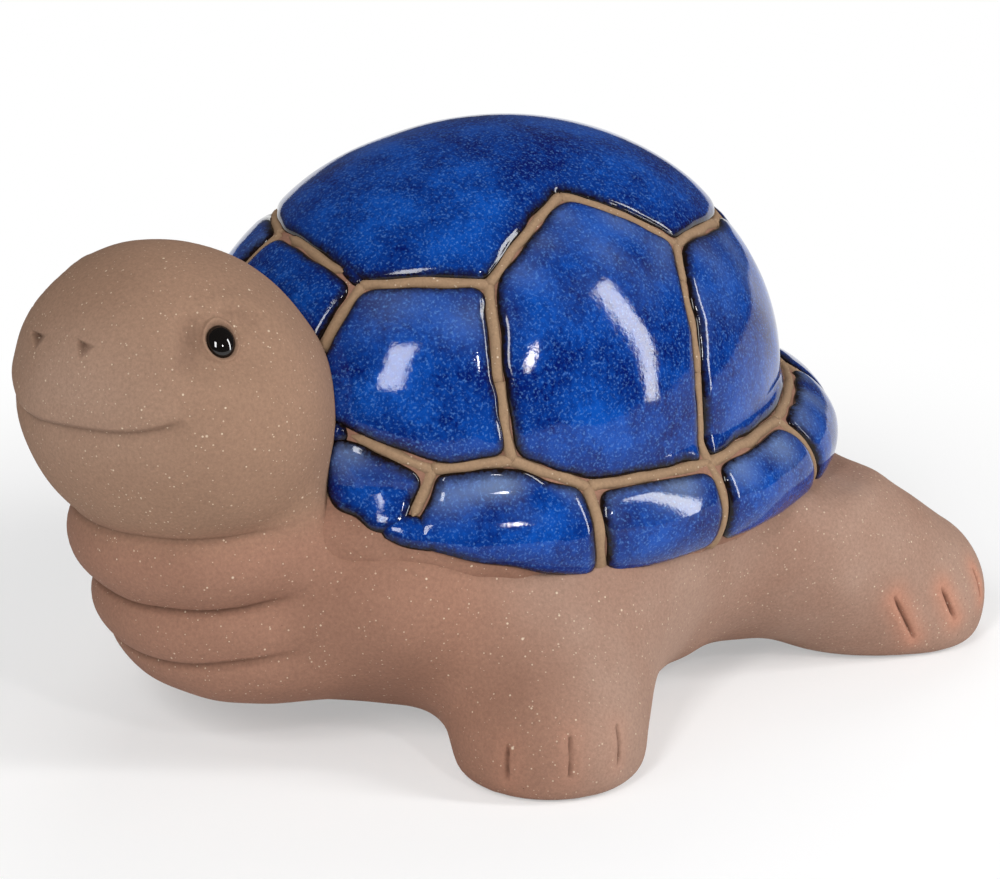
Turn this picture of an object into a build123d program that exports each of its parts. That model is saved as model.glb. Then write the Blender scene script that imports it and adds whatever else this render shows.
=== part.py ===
from build123d import *

import os
from math import acos, cos, degrees, radians, sin, sqrt

# Glazed stoneware tortoise, standing on four feet, facing -Y, with +X to its own left.
# Lengths are millimetres and angles degrees. The origin is on the floor, under the middle of the figure.
# Pieces of soft clay are luted face to face, and each scute is a separate pool of glaze.
os.makedirs("parts", exist_ok=True)

# How far the nose stands out in front of the shell's rim, and the rear toes behind it
nose_reach = 47.0
rear_toe_reach = 25.0

# Shell: a dome on a flared skirt, both cut level at the seam with the body
# The dome is set forward and tilted, its rear end up
seam_height = 54.0
skirt_half_width = 88.5
skirt_half_length = 110.5
skirt_half_height = 35.0
skirt_centre_above_seam = 12.0
skirt_side_flare = 9.7
skirt_end_flare = 15.8
dome_centre_above_seam = 29.2
dome_advance = 6.5
dome_tilt = 9.2
dome_rise = 80.5
dome_wall = 7.0

# Scutes: pools of glaze with bare clay lines between them
scute_thickness = 3.0
clay_line_width = 4.0
scute_corner_radius = 5.0
scute_edge_radius = 1.8

# A scute's cone is cut from this share to this share of the way to its corners
scute_cone_shares = (0.6, 1.7)

# Corners of scutes on the dome, as shares of its half width and half length
dome_corner_shares = {
    "front": (0.335, -0.565),
    "shoulder": (0.64, -0.285),
    "peak": (0.50, 0.10),
    "hip": (0.695, 0.395),
    "rear": (0.33, 0.82),
}

# The clay line that runs round the shell between dome and skirt, set in from the rim
# and a little above the crease where they meet
ring_side_inset = 9.5
ring_end_inset = 10.5
ring_above_crease = 1.1

# Corners of scutes on that line: angle from the nose, then shares of its rise above the seam
# for the corner on the line and for the corner at the rim below it
ring_corner_shares = {
    "nape": (15.0, 0.93, 0.34),
    "collar": (24.0, 0.93, 0.34),
    "armpit": (39.0, 0.94, 0.28),
    "elbow": (53.0, 1.00, 0.20),
    "flank": (68.0, 0.90, 0.06),
    "side": (98.0, 0.93, 0.02),
    "thigh": (129.0, 1.00, 0.11),
    "stern": (156.0, 1.05, 0.16),
}

# Body: the lower casting, a bowl set in under the rim, with a flattened belly and a pin vent for the firing
body_side_inset = 5.0
body_end_inset = 6.0
body_depth = 72.5
body_wall = 8.0
belly_height = 7.0
vent_radius = 1.5

# Head: a ball with a mouth line, two nostrils and two glaze eyes, its centre lifted above the dome's
# It is turned to its left, and tilted so that the chin draws back
head_half_width = 50.6
head_half_length = 41.1
head_half_height = 45.7
head_lift = 20.8
head_turn = 6.0
head_tilt = 23.6
head_wall = 7.0
mouth_width = 1.8
mouth_depth = 1.8
mouth_rise = 1.0
mouth_corner_lift = 6.3
mouth_corner_angle = 50.0
nostril_radius = 3.4
nostril_depth = 1.8
nostril_angle = 15.5
nostril_pitch = 31.5
eye_half_width = 4.3
eye_half_height = 5.1
eye_half_depth = 3.2
eye_angle = 72.0
eye_pitch = 34.6

# Neck: three rolls of clay from the chin down, each set back from the nose tip and dropped from the one above
chin_roll_half_width = 43.0
chin_roll_half_length = 39.0
chin_roll_half_height = 23.0
chin_roll_setback = 13.5
chin_roll_drop = 40.3
middle_roll_half_width = 44.0
middle_roll_half_length = 42.8
middle_roll_half_height = 23.0
middle_roll_setback = 20.3
middle_roll_drop = 20.3
chest_roll_half_width = 45.0
chest_roll_half_length = 38.7
chest_roll_half_height = 21.0
chest_roll_setback = 27.0
chest_roll_drop = 10.9

# Throat: the bent passage that joins the hollows of head, neck and body
throat_radius = 9.0
throat_setback = 48.0
throat_bend_drop = 12.0
throat_overrun = 30.0

# Front legs: a ball foot and a ball shoulder in one skin
# Each foot stands out past the rim and is set back from its front end; the shoulder steps in and back from it
front_foot_overhang = 20.2
front_foot_setback = 66.4
front_foot_radius = 28.1
front_foot_height = 11.0
front_shoulder_step = 20.6
front_shoulder_retreat = 18.1
front_shoulder_drop = 21.7
front_shoulder_radius = 31.2
front_toe_angles = (-67.0, -26.0, 7.0)

# Rear legs: a ball foot and a ball hip in one skin
# Each foot stands out past the rim; the hip steps in and forward from it
rear_foot_overhang = 5.8
rear_foot_radius = 29.0
rear_foot_height = 12.0
rear_hip_step = 7.8
rear_hip_advance = 40.3
rear_hip_drop = 16.2
rear_hip_radius = 31.2
rear_toe_angles = (-28.0, 26.0, 62.0)

# Slits that part the toes
toe_slit_width = 1.4
toe_slit_depth = 3.0
toe_slit_height = 14.0
toe_slit_centre_height = 13.0

# Tail: a short drooping stub
tail_half_width = 9.0
tail_half_length = 24.0
tail_half_height = 8.0
tail_inset = 9.5
tail_drop = 21.0
tail_droop = 14.0


def ellipsoid(location, half_axes):
    # A unit ball stretched to its half axes and set at its location.
    with BuildPart() as stretched:
        Sphere(1)
        scale(by=half_axes)
    return stretched.part.moved(location)


def grown(half_axes, amount):
    return tuple(half + amount for half in half_axes)


def mirrored(piece):
    return mirror(piece, about=Plane.YZ, mode=Mode.PRIVATE)


# Places along the figure, from the nose back
figure_length = nose_reach + 2 * skirt_half_length + rear_toe_reach
nose_tip_y = -figure_length / 2
rim_front_y = nose_tip_y + nose_reach
shell_centre_y = rim_front_y + skirt_half_length

# Rounded blanks that the pieces are cut from
dome_half_width = skirt_half_width - skirt_side_flare
dome_half_length = skirt_half_length - skirt_end_flare
dome_centre_height = seam_height + dome_centre_above_seam
dome_location = Location((0, shell_centre_y - dome_advance, dome_centre_height), (dome_tilt, 0, 0))
shell_centre = dome_location.position
dome_half_axes = (dome_half_width, dome_half_length, dome_rise)
dome_glaze_half_axes = grown(dome_half_axes, scute_thickness)
dome_clay = ellipsoid(dome_location, dome_half_axes)
dome_core = ellipsoid(dome_location, grown(dome_half_axes, -dome_wall))
dome_glaze = ellipsoid(dome_location, dome_glaze_half_axes)

skirt_location = Location((0, shell_centre_y, seam_height + skirt_centre_above_seam))
skirt_half_axes = (skirt_half_width, skirt_half_length, skirt_half_height)
skirt_clay = ellipsoid(skirt_location, skirt_half_axes)
skirt_glaze = ellipsoid(skirt_location, grown(skirt_half_axes, scute_thickness))

body_half_width = skirt_half_width - body_side_inset
body_half_length = skirt_half_length - body_end_inset
body_location = Location((0, shell_centre_y, seam_height))
body_half_axes = (body_half_width, body_half_length, body_depth)
body_clay = ellipsoid(body_location, body_half_axes)
body_core = ellipsoid(body_location, grown(body_half_axes, -body_wall))

head_centre_height = dome_centre_height + head_lift
head_half_axes = (head_half_width, head_half_length, head_half_height)
head_ahead_shares = (
    sin(radians(head_turn)),
    cos(radians(head_turn)) * cos(radians(head_tilt)),
    cos(radians(head_turn)) * sin(radians(head_tilt)),
)
head_reach = sqrt(sum((half * share) ** 2 for half, share in zip(head_half_axes, head_ahead_shares)))
head_centre = Vector(0, nose_tip_y + head_reach, head_centre_height)
head_location = Location(head_centre, (0, 0, head_turn)) * Location((0, 0, 0), (head_tilt, 0, 0))
head_frame = Plane(head_location)
head_clay = ellipsoid(head_location, head_half_axes)
head_core = ellipsoid(head_location, grown(head_half_axes, -head_wall))

chin_roll_height = head_centre_height - chin_roll_drop
chin_roll = ellipsoid(
    Location((0, nose_tip_y + chin_roll_setback + chin_roll_half_length, chin_roll_height)),
    (chin_roll_half_width, chin_roll_half_length, chin_roll_half_height),
)
middle_roll_height = chin_roll_height - middle_roll_drop
middle_roll = ellipsoid(
    Location((0, nose_tip_y + middle_roll_setback + middle_roll_half_length, middle_roll_height)),
    (middle_roll_half_width, middle_roll_half_length, middle_roll_half_height),
)
chest_roll_height = middle_roll_height - chest_roll_drop
chest_roll = ellipsoid(
    Location((0, nose_tip_y + chest_roll_setback + chest_roll_half_length, chest_roll_height)),
    (chest_roll_half_width, chest_roll_half_length, chest_roll_half_height),
)

# Throat passage: straight down from the head, round a bend and back into the body
throat_y = nose_tip_y + throat_setback
hollow_front_y = shell_centre_y - body_half_length + body_wall
throat_reach = hollow_front_y + throat_overrun - throat_y
throat_bend_height = seam_height - throat_bend_drop
throat_bend = Vector(0, throat_y, throat_bend_height)
from_base = (Align.CENTER, Align.CENTER, Align.MIN)
with BuildPart() as throat:
    with Locations(throat_bend):
        Sphere(throat_radius)
        Cylinder(throat_radius, head_centre_height - throat_bend_height, align=from_base)
    with Locations(Location(throat_bend, (-90, 0, 0))):
        Cylinder(throat_radius, throat_reach, align=from_base)

# Carapace: the hollow clay dome and skirt, which show as the bare lines between the scutes
seam_plane = Plane.XY.offset(seam_height)
with BuildPart() as skirt:
    add(skirt_clay)
    split(bisect_by=seam_plane, keep=Keep.TOP)
    add(dome_core, mode=Mode.SUBTRACT)

with BuildPart() as carapace:
    add(dome_clay)
    split(bisect_by=seam_plane, keep=Keep.TOP)
    add(dome_core, mode=Mode.SUBTRACT)
    add(skirt.part)
carapace.part.label = "carapace"
export_step(carapace.part, "parts/carapace.step")

# Body: the hollow bowl under the seam
belly_plane = Plane.XY.offset(belly_height)
with BuildPart() as body_hollow:
    add(body_core)
    split(bisect_by=belly_plane.offset(body_wall), keep=Keep.TOP)

with BuildPart() as body:
    add(body_clay)
    split(bisect_by=seam_plane, keep=Keep.BOTTOM)
    split(bisect_by=belly_plane, keep=Keep.TOP)
    add(body_hollow.part, mode=Mode.SUBTRACT)
    add(throat.part, mode=Mode.SUBTRACT)
    with Locations((0, shell_centre_y, belly_height)):
        Cylinder(vent_radius, seam_height - belly_height, align=from_base, mode=Mode.SUBTRACT)
body.part.label = "body"
export_step(body.part, "parts/body.step")


def head_surface(angle, pitch):
    # Where the head ends at this angle from the nose and pitch above level, facing out.
    level = cos(radians(pitch))
    ahead = level * cos(radians(angle))
    up = sin(radians(pitch))
    way = Vector(
        level * sin(radians(angle)),
        up * sin(radians(head_tilt)) - ahead * cos(radians(head_tilt)),
        up * cos(radians(head_tilt)) + ahead * sin(radians(head_tilt)),
    )
    stretch = sqrt(sum((along / half) ** 2 for along, half in zip(way, head_half_axes)))
    local_point = way / stretch
    local_normal = Vector(*(along / half**2 for along, half in zip(local_point, head_half_axes)))
    point = head_frame.from_local_coords(local_point)
    normal = head_frame.from_local_coords(local_point + local_normal.normalized()) - point
    return Plane(point, x_dir=normal.cross(Vector(0, 0, 1)), z_dir=normal)


def eye_bead(angle):
    with BuildPart() as bead:
        Sphere(1)
        scale(by=(eye_half_width, eye_half_height, eye_half_depth))
    return bead.part.moved(head_surface(angle, eye_pitch).location)


# Eyes: beads of black glaze, half sunk in the head
with BuildPart() as left_eye:
    add(eye_bead(eye_angle))
left_eye.part.label = "left_eye"
export_step(left_eye.part, "parts/left_eye.step")

with BuildPart() as right_eye:
    add(eye_bead(-eye_angle))
right_eye.part.label = "right_eye"
export_step(right_eye.part, "parts/right_eye.step")

# Mouth groove: a curved band seen from the nose, no deeper than its depth below the head's surface
nose_way = Vector(sin(radians(head_turn)), -cos(radians(head_turn)), 0)
nose_plane = Plane(head_centre, x_dir=Vector(0, 0, 1).cross(nose_way), z_dir=nose_way)
mouth_half_width = head_half_width * sin(radians(mouth_corner_angle))
mouth_corner_rise = mouth_rise + mouth_corner_lift
with BuildPart() as mouth_groove:
    with BuildSketch(nose_plane):
        with BuildLine():
            ThreePointArc(
                (-mouth_half_width, mouth_corner_rise),
                (0, mouth_rise),
                (mouth_half_width, mouth_corner_rise),
            )
        trace(line_width=mouth_width)
    extrude(amount=head_reach + mouth_depth)
    add(ellipsoid(head_location, grown(head_half_axes, -mouth_depth)), mode=Mode.SUBTRACT)

# Head: a hollow ball set against the front of the dome, open to the neck below
with BuildPart() as head:
    add(head_clay)
    add(head_core, mode=Mode.SUBTRACT)
    add(dome_clay, mode=Mode.SUBTRACT)
    add(skirt_clay, mode=Mode.SUBTRACT)
    add(throat.part, mode=Mode.SUBTRACT)
    add(mouth_groove.part, mode=Mode.SUBTRACT)
    for side in (-1, 1):
        with BuildSketch(head_surface(side * nostril_angle, nostril_pitch)):
            RegularPolygon(nostril_radius, 3, rotation=90)
        extrude(amount=nostril_depth, both=True, mode=Mode.SUBTRACT)
    add(left_eye.part, mode=Mode.SUBTRACT)
    add(right_eye.part, mode=Mode.SUBTRACT)
head.part.label = "head"
export_step(head.part, "parts/head.step")

# Neck: the rolls of clay between the chin and the chest
with BuildPart() as neck:
    add(chin_roll)
    add(middle_roll)
    add(chest_roll)
    add(head_clay, mode=Mode.SUBTRACT)
    add(dome_clay, mode=Mode.SUBTRACT)
    add(skirt_clay, mode=Mode.SUBTRACT)
    add(body_clay, mode=Mode.SUBTRACT)
    add(throat.part, mode=Mode.SUBTRACT)
neck.part.label = "neck"
export_step(neck.part, "parts/neck.step")


def limb(foot, joint, foot_radius, joint_radius):
    # Two balls in the skin that touches both: their shared outline, turned about the line between them.
    along = joint - foot
    span = along.length
    touch_share = (foot_radius - joint_radius) / span
    touch_angle = degrees(acos(touch_share))
    lean = sqrt(1 - touch_share**2)
    with BuildPart() as turned:
        with BuildSketch(Plane(foot, x_dir=along, z_dir=along.cross(Vector(0, 0, 1)))):
            with BuildLine():
                CenterArc((0, 0), foot_radius, touch_angle, 180 - touch_angle)
                Line(
                    (foot_radius * touch_share, foot_radius * lean),
                    (span + joint_radius * touch_share, joint_radius * lean),
                )
                CenterArc((span, 0), joint_radius, 0, touch_angle)
                Line((-foot_radius, 0), (span + joint_radius, 0))
            make_face()
        revolve(axis=Axis(foot, along))
    return turned.part


def toe_slit_places(foot, foot_radius, angles):
    # Places on the foot's outline, each turned to face outward.
    places = []
    for angle in angles:
        reach = Vector(foot_radius * cos(radians(angle)), foot_radius * sin(radians(angle)))
        place = (foot.X + reach.X, foot.Y + reach.Y, toe_slit_centre_height)
        places.append(Location(place, (0, 0, angle)))
    return places


# Front legs: leaning posts with a flat sole, luted under the shoulder
front_foot = Vector(
    skirt_half_width + front_foot_overhang - front_foot_radius,
    rim_front_y + front_foot_setback,
    front_foot_height,
)
front_shoulder = Vector(
    front_foot.X - front_shoulder_step,
    front_foot.Y + front_shoulder_retreat,
    seam_height - front_shoulder_drop,
)
with BuildPart() as front_left_leg:
    add(limb(front_foot, front_shoulder, front_foot_radius, front_shoulder_radius))
    split(bisect_by=seam_plane, keep=Keep.BOTTOM)
    split(bisect_by=Plane.XY, keep=Keep.TOP)
    add(body_clay, mode=Mode.SUBTRACT)
    with Locations(toe_slit_places(front_foot, front_foot_radius, front_toe_angles)):
        Box(2 * toe_slit_depth, toe_slit_width, toe_slit_height, mode=Mode.SUBTRACT)
front_left_leg.part.label = "front_left_leg"
export_step(front_left_leg.part, "parts/front_left_leg.step")

with BuildPart() as front_right_leg:
    add(mirrored(front_left_leg.part))
front_right_leg.part.label = "front_right_leg"
export_step(front_right_leg.part, "parts/front_right_leg.step")

# Rear legs: the thigh runs forward under the rim
rear_foot = Vector(
    skirt_half_width + rear_foot_overhang - rear_foot_radius,
    figure_length / 2 - rear_foot_radius,
    rear_foot_height,
)
rear_hip = Vector(
    rear_foot.X - rear_hip_step,
    rear_foot.Y - rear_hip_advance,
    seam_height - rear_hip_drop,
)
with BuildPart() as rear_left_leg:
    add(limb(rear_foot, rear_hip, rear_foot_radius, rear_hip_radius))
    split(bisect_by=seam_plane, keep=Keep.BOTTOM)
    split(bisect_by=Plane.XY, keep=Keep.TOP)
    add(body_clay, mode=Mode.SUBTRACT)
    with Locations(toe_slit_places(rear_foot, rear_foot_radius, rear_toe_angles)):
        Box(2 * toe_slit_depth, toe_slit_width, toe_slit_height, mode=Mode.SUBTRACT)
rear_left_leg.part.label = "rear_left_leg"
export_step(rear_left_leg.part, "parts/rear_left_leg.step")

with BuildPart() as rear_right_leg:
    add(mirrored(rear_left_leg.part))
rear_right_leg.part.label = "rear_right_leg"
export_step(rear_right_leg.part, "parts/rear_right_leg.step")

# Tail: a ball with its poles fore and aft, stretched and luted to the rear end of the body
tail_centre_y = shell_centre_y + body_half_length - tail_inset
tail_location = Location((0, tail_centre_y, seam_height - tail_drop), (-tail_droop, 0, 0))
with BuildPart() as tail_clay:
    Sphere(1, rotation=(90, 0, 0))
    scale(by=(tail_half_width, tail_half_length, tail_half_height))

with BuildPart() as tail:
    add(tail_clay.part.moved(tail_location))
    add(body_clay, mode=Mode.SUBTRACT)
tail.part.label = "tail"
export_step(tail.part, "parts/tail.step")


def dome_corner(name):
    # A point on the glazed dome, from its shares across and along.
    across, along = dome_corner_shares[name]
    up = sqrt(1 - across**2 - along**2)
    shares = (across, along, up)
    local = tuple(share * half for share, half in zip(shares, dome_glaze_half_axes))
    return (dome_location * Location(local)).position


# The crease's height above the seam, at the sides, where dome and skirt are equally wide:
# the upper root of the quadratic that sets one ellipse's width equal to the other's
skirt_slope = (skirt_half_width / skirt_half_height) ** 2
dome_slope = (dome_half_width / dome_rise) ** 2
crease_mean = (
    (skirt_slope * skirt_centre_above_seam - dome_slope * dome_centre_above_seam) / (skirt_slope - dome_slope)
)
crease_product = (
    dome_half_width**2 - skirt_half_width**2
    + skirt_slope * skirt_centre_above_seam**2 - dome_slope * dome_centre_above_seam**2
) / (skirt_slope - dome_slope)
crease_rise = crease_mean + sqrt(crease_mean**2 - crease_product)
ring_rise = crease_rise + ring_above_crease


def ring_point(angle, rise):
    turned = radians(angle)
    return Vector(
        (skirt_half_width - ring_side_inset) * sin(turned),
        shell_centre_y - (skirt_half_length - ring_end_inset) * cos(turned),
        seam_height + rise,
    )


def across_middle(point):
    return Vector(-point.X, point.Y, point.Z)


corners = {}
for corner_name in dome_corner_shares:
    corners[corner_name] = dome_corner(corner_name)
for corner_name, (corner_angle, ring_share, rim_share) in ring_corner_shares.items():
    corners[corner_name] = ring_point(corner_angle, ring_rise * ring_share)
    corners[corner_name + "_rim"] = ring_point(corner_angle, ring_rise * rim_share)
for corner_name in list(corners):
    corners["right_" + corner_name] = across_middle(corners[corner_name])


def scute(corner_names, glaze, neighbours=()):
    # A pad of glaze: a cone from the shell's centre through the corners, drawn in by half a clay line,
    # kept between clay and glaze surface, with its outer edge rounded and its neighbours cut away.
    ways = [corners[name] - shell_centre for name in corner_names]
    middle_way = sum(ways, Vector(0, 0, 0)).normalized()
    reach = sum(way.dot(middle_way) for way in ways) / len(ways)
    cell_plane = Plane(shell_centre + middle_way * reach, z_dir=middle_way)
    on_plane = [shell_centre + way * (reach / way.dot(middle_way)) for way in ways]
    flat = [cell_plane.to_local_coords(point) for point in on_plane]
    with BuildSketch(cell_plane) as cell:
        with BuildLine():
            Polyline(*[(point.X, point.Y) for point in flat], close=True)
        make_face()
        offset(amount=-clay_line_width / 2, kind=Kind.INTERSECTION, mode=Mode.REPLACE)
        fillet(cell.vertices(), radius=scute_corner_radius)
    ends = [
        scale(cell.sketch.face(), by=share, about=shell_centre, mode=Mode.PRIVATE)
        for share in scute_cone_shares
    ]
    with BuildPart() as pad:
        loft(ends, ruled=True)
        add(glaze, mode=Mode.INTERSECT)
        add(dome_clay, mode=Mode.SUBTRACT)
        add(skirt_clay, mode=Mode.SUBTRACT)
        outer_face = pad.faces().sort_by(SortBy.AREA)[-1]
        fillet(outer_face.edges(), radius=scute_edge_radius)
        for neighbour in neighbours:
            add(neighbour, mode=Mode.SUBTRACT)
    return pad.part


# Scutes on the middle line
head_side = (head_clay, chin_roll, middle_roll)
middle_scutes = {
    "top_scute": (
        (
            "front", "shoulder", "peak", "hip", "rear",
            "right_rear", "right_hip", "right_peak", "right_shoulder", "right_front",
        ),
        dome_glaze,
        (),
    ),
    "front_scute": (("front", "right_front", "right_nape", "nape"), dome_glaze, head_side),
    "rear_scute": (("rear", "stern", "right_stern", "right_rear"), dome_glaze, ()),
    "rear_marginal_scute": (("stern", "stern_rim", "right_stern_rim", "right_stern"), skirt_glaze, ()),
}
for scute_name, (corner_names, glaze, neighbours) in middle_scutes.items():
    with BuildPart() as middle_scute:
        add(scute(corner_names, glaze, neighbours))
    middle_scute.part.label = scute_name
    export_step(middle_scute.part, f"parts/{scute_name}.step")

# Scutes on the left side, each with its mirror on the right
left_scutes = {
    "costal_scute_1": (("front", "shoulder", "elbow", "armpit", "nape"), dome_glaze, head_side),
    "costal_scute_2": (("shoulder", "peak", "hip", "side", "flank", "elbow"), dome_glaze, ()),
    "costal_scute_3": (("hip", "rear", "stern", "thigh", "side"), dome_glaze, ()),
    "marginal_scute_1": (("collar", "armpit", "armpit_rim", "collar_rim"), skirt_glaze, head_side),
    "marginal_scute_2": (
        ("armpit", "elbow", "flank", "flank_rim", "elbow_rim", "armpit_rim"),
        skirt_glaze,
        (),
    ),
    "marginal_scute_3": (("flank", "side", "side_rim", "flank_rim"), skirt_glaze, ()),
    "marginal_scute_4": (("side", "thigh", "thigh_rim", "side_rim"), skirt_glaze, ()),
    "marginal_scute_5": (("thigh", "stern", "stern_rim", "thigh_rim"), skirt_glaze, ()),
}
for scute_name, (corner_names, glaze, neighbours) in left_scutes.items():
    with BuildPart() as left_scute:
        add(scute(corner_names, glaze, neighbours))
    left_scute.part.label = f"left_{scute_name}"
    export_step(left_scute.part, f"parts/left_{scute_name}.step")
    with BuildPart() as right_scute:
        add(mirrored(left_scute.part))
    right_scute.part.label = f"right_{scute_name}"
    export_step(right_scute.part, f"parts/right_{scute_name}.step")
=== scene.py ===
import bmesh
import bpy
import numpy as np
import openvdb
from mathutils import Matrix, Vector


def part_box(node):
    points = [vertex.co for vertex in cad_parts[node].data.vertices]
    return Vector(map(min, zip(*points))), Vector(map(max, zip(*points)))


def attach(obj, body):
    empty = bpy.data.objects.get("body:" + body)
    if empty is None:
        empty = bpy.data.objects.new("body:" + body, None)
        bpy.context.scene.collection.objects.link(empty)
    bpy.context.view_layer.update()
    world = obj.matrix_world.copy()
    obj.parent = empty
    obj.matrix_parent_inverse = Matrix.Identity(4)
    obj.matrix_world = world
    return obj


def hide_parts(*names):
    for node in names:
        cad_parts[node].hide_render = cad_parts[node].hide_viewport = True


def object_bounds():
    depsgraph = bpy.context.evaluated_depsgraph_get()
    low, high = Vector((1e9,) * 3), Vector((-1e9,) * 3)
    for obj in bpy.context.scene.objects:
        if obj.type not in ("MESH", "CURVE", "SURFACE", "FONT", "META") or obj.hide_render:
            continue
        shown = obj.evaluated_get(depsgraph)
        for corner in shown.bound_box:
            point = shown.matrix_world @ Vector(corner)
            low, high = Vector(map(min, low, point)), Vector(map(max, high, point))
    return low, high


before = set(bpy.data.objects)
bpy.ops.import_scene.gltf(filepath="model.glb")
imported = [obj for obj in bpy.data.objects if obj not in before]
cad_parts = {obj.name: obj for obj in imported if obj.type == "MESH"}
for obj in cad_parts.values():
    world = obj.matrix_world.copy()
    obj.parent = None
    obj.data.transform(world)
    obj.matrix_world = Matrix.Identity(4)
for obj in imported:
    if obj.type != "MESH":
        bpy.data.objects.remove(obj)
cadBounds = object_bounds()
mm = 0.001  # metres in a millimetre: shapes are worked out in millimetres and stored in metres
perMetre = 1 / mm  # pattern scales are this over the pattern's size in millimetres


def boxOf(node):
    # lowest and highest corner of a CAD node, in millimetres
    low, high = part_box(node)
    return np.array(low) / mm, np.array(high) / mm


def linearColour(hexText):
    # sRGB hex to linear red, green, blue, alpha
    srgb = np.array([int(hexText[i:i + 2], 16) for i in (1, 3, 5)]) / 255
    linear = np.where(srgb <= 0.04045, srgb / 12.92, ((srgb + 0.055) / 1.055) ** 2.4)
    return (*linear, 1.0)


def addNode(tree, kind, values=None, links=None, **settings):
    # a node with its settings, unlinked values and links
    node = tree.nodes.new(kind)
    for name, value in settings.items():
        setattr(node, name, value)
    for name, value in (values or {}).items():
        node.inputs[name].default_value = value
    for name, source in (links or {}).items():
        tree.links.new(source, node.inputs[name])
    return node


def unit(vectors):
    # vectors divided by their lengths
    return vectors / np.linalg.norm(vectors, axis=-1, keepdims=True)


def wayTo(angle, pitch):
    # unit direction: angle from the nose round to the figure's left, pitch above level, both in degrees
    a, p = np.radians(angle), np.radians(pitch)
    return np.stack(np.broadcast_arrays(np.cos(p) * np.sin(a), -np.cos(p) * np.cos(a), np.sin(p)), -1)


def smoothStep(low, high, value):
    # 0 below low, 1 above high, and a smooth cubic between
    t = np.clip((value - low) / (high - low), 0, 1)
    return t * t * (3 - 2 * t)


def bell(gap, width):
    # 1 where the gap is zero, falling as e to the minus square of gap over width
    return np.exp(-(gap / width) ** 2)


def smoothUnion(a, b, radius):
    # the smaller of two distances, rounded over where they are within a radius of each other
    h = np.clip(0.5 + 0.5 * (b - a) / radius, 0, 1)
    return b + (a - b) * h - radius * h * (1 - h)


def smoothCommon(a, b, radius):
    # the larger of two distances, rounded over in the same way
    return -smoothUnion(-a, -b, radius)


def ripple(points, size, seed, waves=7):
    # a smooth random height about -1 to 1: sines of one wavelength running in random directions
    rng = np.random.default_rng(seed)
    ways = rng.normal(size=(waves, 3))
    ways /= np.linalg.norm(ways, axis=1)[:, None]
    phases = rng.uniform(0, 2 * np.pi, waves)
    spread = rng.uniform(0.7, 1.3, waves)
    total = sum(np.sin(points @ (way * 2 * np.pi * s / size) + phase)
                for way, s, phase in zip(ways, spread, phases))
    return total / np.sqrt(waves)


def pathLength(path):
    # length gone by at each point of a path: the running sum of its steps
    return np.concatenate([[0], np.cumsum(np.linalg.norm(np.diff(path, axis=0), axis=1))])


def gridFaces(rows, columns):
    # quads of a grid that closes on itself along its columns, row after row
    i, j = np.meshgrid(np.arange(rows - 1), np.arange(columns), indexing="ij")
    k = (j + 1) % columns
    quads = np.stack([i * columns + j, i * columns + k, (i + 1) * columns + k, (i + 1) * columns + j], -1)
    return quads.reshape(-1, 4)


def fanFaces(ring, hub):
    # triangles from each step of a closed ring to one hub point
    return np.stack([ring, np.roll(ring, -1), np.full(len(ring), hub)], -1)


def closedFaces(rows, columns):
    # a grid whose last and first rows are fanned to two hubs, which are stored after it in that order
    count = rows * columns
    return [gridFaces(rows, columns), fanFaces(np.arange(count - columns, count), count),
            fanFaces(np.arange(columns)[::-1], count + 1)]


def addObject(name, data):
    # an object at the origin, linked into the scene
    item = bpy.data.objects.new(name, data)
    bpy.context.scene.collection.objects.link(item)
    return item


def makePiece(name, points, faceBlocks, nodes, material, attributes=None):
    # a mesh in the row frame from points in millimetres, riding on the root for its CAD nodes
    mesh = bpy.data.meshes.new(name)
    mesh.from_pydata((points * mm).tolist(), [], [face for block in faceBlocks for face in block.tolist()])
    mesh.validate()
    mesh.polygons.foreach_set("use_smooth", np.ones(len(mesh.polygons), bool))
    for key, values in (attributes or {}).items():
        layer = mesh.attributes.new(key, "FLOAT", "POINT")
        layer.data.foreach_set("value", np.asarray(values, np.float32))
    mesh.materials.append(material)
    mesh.update()
    piece = addObject(name, mesh)
    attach(piece, "root")
    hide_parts(*nodes)


# chamotte stoneware, unglazed: fired matt brown clay with pale and dark grog specks in it
clayLook = {
    # A1897A is pale ash on the rear and painted light on the front of the face; #4E372D is painted shade,
    # laid into the grooves and at the foot of the clay lines
    "bodyColour": "#906B59", "headColour": "#8F715D", "lineColour": "#94795F", "ashAndPaintedLightColour": "#A1897A",
    "blushColour": "#B98068", "creaseColour": "#4E372D", "paleColour": "#D8C6AE", "darkColour": "#3A2820",
    "blotchSize": 42.0, "blotchDetail": 3.0,
    "grainSize": 1.0, "grainDetail": 4.0, "grainRoughness": 0.7,  # coarser than real grain, so that it shows
    "ashAndLightSpread": {"From Min": 0.3, "From Max": 0.6, "To Min": 0.3},
    "blotchLevel": {"From Min": 0.3, "From Max": 0.7, "To Min": 0.95, "To Max": 1.05},
    "grainLevel": {"From Min": 0.25, "From Max": 0.75, "To Min": 0.82, "To Max": 1.18},
    # specks: colour, cell size, largest radius in cells, share of cells without one, strength
    "specks": [("paleColour", 1.25, 0.25, 0.45, 0.5), ("paleColour", 2.3, 0.17, 0.5, 0.75),
               ("paleColour", 5.5, 0.1, 0.6, 0.9), ("darkColour", 4.2, 0.075, 0.5, 0.75)],
    "speckEdge": 0.06, "roughness": 0.88, "specular": 0.25, "bump": {"Strength": 0.4, "Distance": 0.15 * mm},
}


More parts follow.
